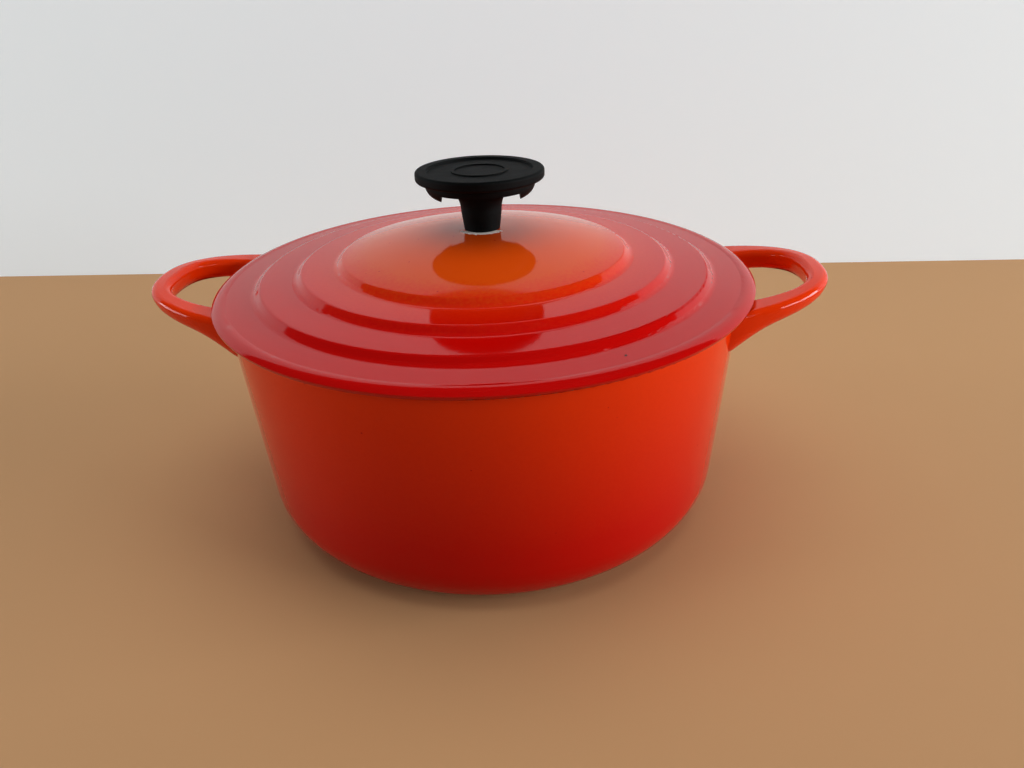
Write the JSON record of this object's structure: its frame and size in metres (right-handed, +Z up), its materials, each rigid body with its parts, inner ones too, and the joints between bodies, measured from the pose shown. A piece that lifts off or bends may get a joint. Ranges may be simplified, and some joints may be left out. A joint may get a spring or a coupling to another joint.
{
  "type": "dutch oven",
  "caption": "Round enamelled cast iron dutch oven with two cast loop handles and a stepped, domed lid with a screwed-on black knob.",
  "frame": {"origin": "centre of the base, on the surface the pot stands on", "axes": "+Z up through the knob, X through both loop handles"},
  "size_m": [0.27, 0.212, 0.1368],
  "materials": {
    "exterior_enamel": "glossy vitreous enamel on cast iron, orange fading to deep red at the edges",
    "interior_enamel": "glossy pale sand enamel",
    "black_enamel": "matt black enamel",
    "phenolic": "matt moulded phenolic",
    "brass": "turned",
    "stainless_steel": "bright, lightly worn",
    "spring_steel": "zinc plated"
  },
  "bodies": {
    "pot": {"pot_casting": "exterior_enamel", "pot_interior_enamel": "interior_enamel", "pot_rim_enamel": "black_enamel"},
    "lid": {"lid_casting": "exterior_enamel", "lid_interior_enamel": "interior_enamel", "lid_rim_enamel": "black_enamel", "screw_washer": "spring_steel"},
    "screw": {"knob_screw": "stainless_steel"},
    "knob": {"knob": "phenolic", "knob_insert": "brass"}
  },
  "joints": [
    {"name": "lid_lift", "type": "slide", "parent": "pot", "child": "lid", "axis": [0, 0, 1], "range_m": [0, 0.15]},
    {"name": "screw_turn", "type": "hinge", "parent": "lid", "child": "screw", "pos_m": [0, 0, 0.11], "axis": [0, 0, -1], "range_deg": [0, 3961]},
    {"name": "knob_lift", "type": "slide", "parent": "lid", "child": "knob", "axis": [0, 0, 1], "range_m": [0, 0.011]}
  ],
  "couplings": [
    {"joint": "screw_turn", "follows": "knob_lift", "rad_per_m": 6283.2}
  ]
}
